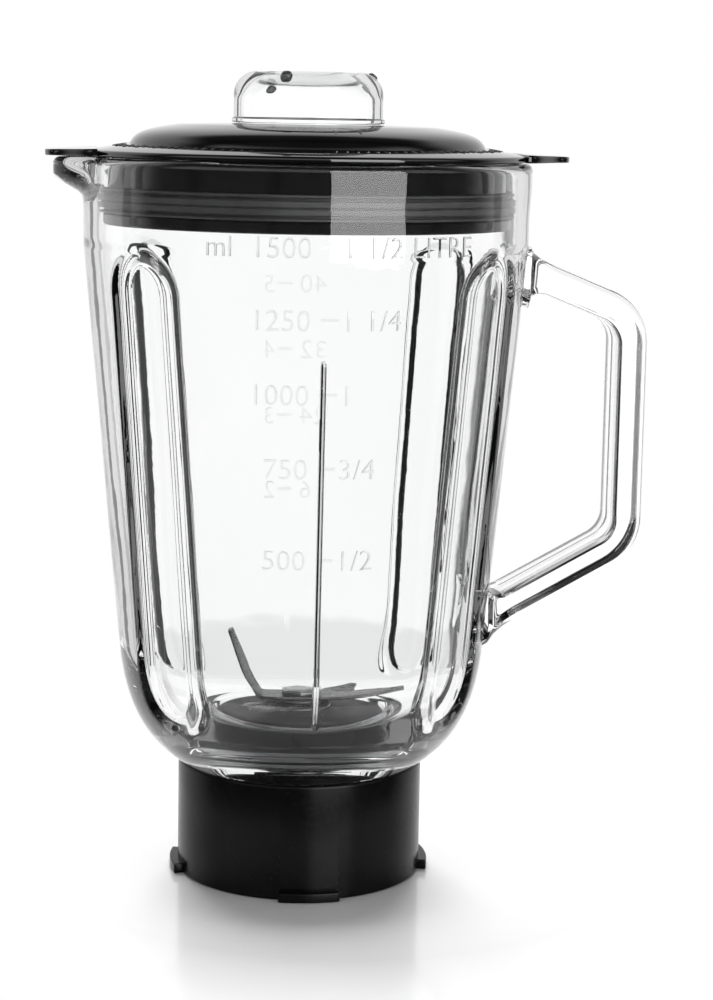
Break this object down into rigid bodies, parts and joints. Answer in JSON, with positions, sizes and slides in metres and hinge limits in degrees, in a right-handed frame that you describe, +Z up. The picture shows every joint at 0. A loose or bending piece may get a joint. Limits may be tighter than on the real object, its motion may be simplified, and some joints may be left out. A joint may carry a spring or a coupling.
{
  "type": "countertop blender jug",
  "caption": "Pressed glass blender jug with handle and spout, screw collar, blade unit, push-in lid and measuring cap.",
  "frame": {"origin": "bottom centre of the assembly's box, on the surface it stands on; the jug's own axis stands at x = -12.95 mm", "axes": "+Z up along the jug, +X towards the handle, -X towards the spout, -Y out of the graduated side"},
  "size_m": [0.1834, 0.136, 0.2468],
  "materials": {
    "black_plastic": "glossy moulded",
    "black_rubber": "matt moulded",
    "silicone": "satin moulded",
    "bronze": "sintered",
    "steel": "polished stainless",
    "clear_glass": "pressed clear glass",
    "clear_plastic": "clear moulded plastic"
  },
  "bodies": {
    "base_collar": {"collar": "black_plastic"},
    "blade_unit": {"blade_carrier": "black_plastic", "jug_gasket": "silicone", "lower_bush": "bronze", "upper_bush": "bronze", "shaft_seal": "black_rubber"},
    "drive": {"drive_shaft": "steel", "thrust_washer": "steel", "lower_washer": "steel", "circlip": "steel", "lower_blade": "steel", "blade_spacer": "steel", "upper_blade": "steel", "blade_nut": "steel", "drive_coupling": "black_plastic", "coupling_insert": "bronze"},
    "jug": {"glass_jug": "clear_glass"},
    "lid_body": {"lid": "black_plastic", "lid_seal": "black_rubber"},
    "cap_body": {"measuring_cap": "clear_plastic"}
  },
  "joints": [
    {"name": "jug_turn", "type": "hinge", "parent": "base_collar", "child": "blade_unit", "pos_m": [-0.01295, 0, 0.0143], "axis": [0, 0, 1], "range_deg": [0, 85]},
    {"name": "jug_lift", "type": "slide", "parent": "blade_unit", "child": "jug", "axis": [0, 0, 1], "range_m": [0, 0.0057]},
    {"name": "blade_spin", "type": "hinge", "parent": "blade_unit", "child": "drive", "pos_m": [-0.01295, 0, 0.03], "axis": [0, 0, 1], "continuous": true},
    {"name": "lid_lift", "type": "slide", "parent": "jug", "child": "lid_body", "axis": [0, 0, 1], "range_m": [0, 0.03]},
    {"name": "cap_lift", "type": "slide", "parent": "lid_body", "child": "cap_body", "axis": [0, 0, 1], "range_m": [0, 0.03]}
  ],
  "couplings": [
    {"joint": "jug_lift", "follows": "jug_turn", "m_per_rad": 0.0038197}
  ]
}
